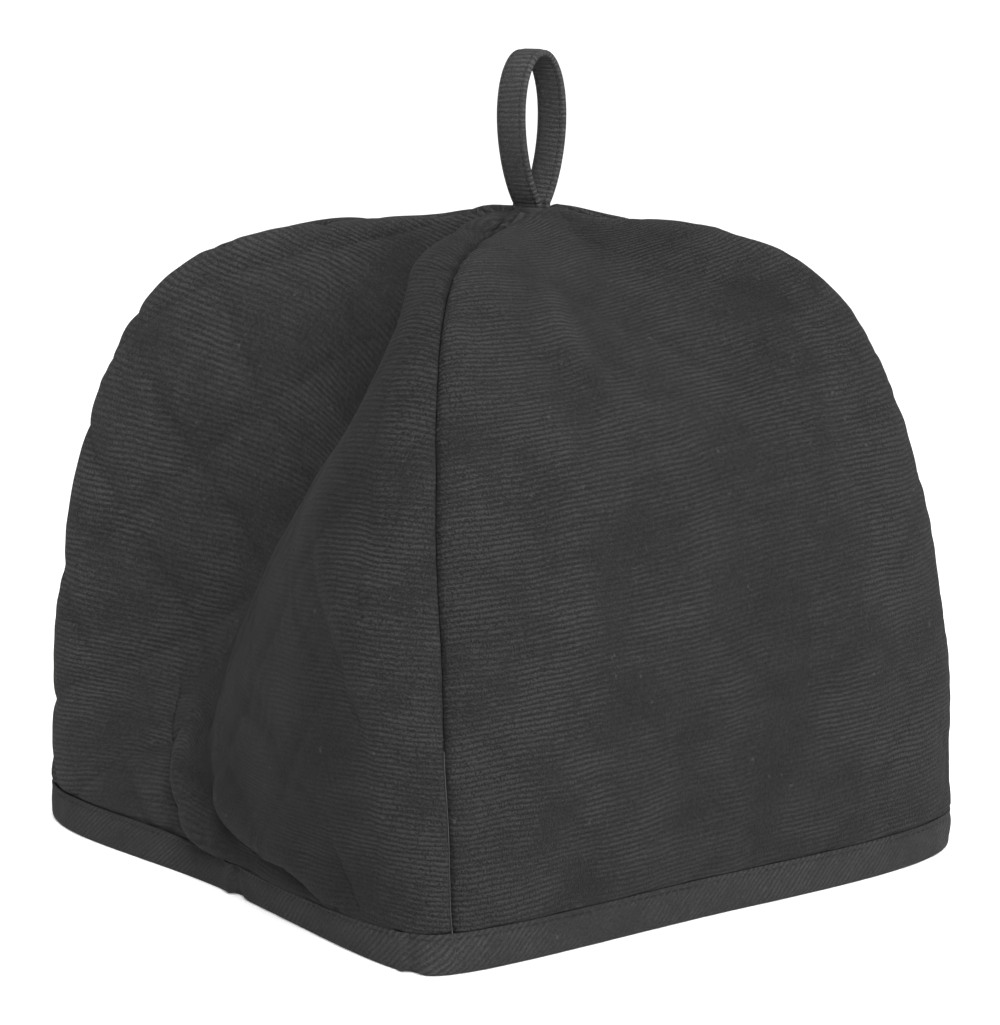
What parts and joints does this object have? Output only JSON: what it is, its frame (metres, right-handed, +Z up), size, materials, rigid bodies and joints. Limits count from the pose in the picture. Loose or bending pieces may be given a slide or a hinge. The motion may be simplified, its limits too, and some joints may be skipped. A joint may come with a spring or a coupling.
{
  "type": "quilted tea cosy",
  "caption": "Quilted cloth tea cosy: four arched panels seamed into a ridged dome with soft folds, a bound hem and a hanging loop on top.",
  "frame": {"origin": "on the surface the hem stands on, at the middle of the whole piece's footprint", "axes": "+Z up; the four ridges point about 45 degrees between the X and Y axes, the deep-folded panel faces -X and the smooth front panel faces -Y"},
  "size_m": [0.2306, 0.2286, 0.248],
  "materials": {
    "quilted_cotton": "matt charcoal cotton with a fine crosswise rib",
    "binding_cotton": "matt charcoal ribbed cotton cut on the bias",
    "loop_tape": "matt charcoal ribbed cotton tape, edge stitched"
  },
  "bodies": {
    "root": {"panel_front": "quilted_cotton", "panel_right": "quilted_cotton", "panel_back": "quilted_cotton", "panel_left": "quilted_cotton", "hem_binding": "binding_cotton", "hanging_loop": "loop_tape"}
  },
  "joints": []
}
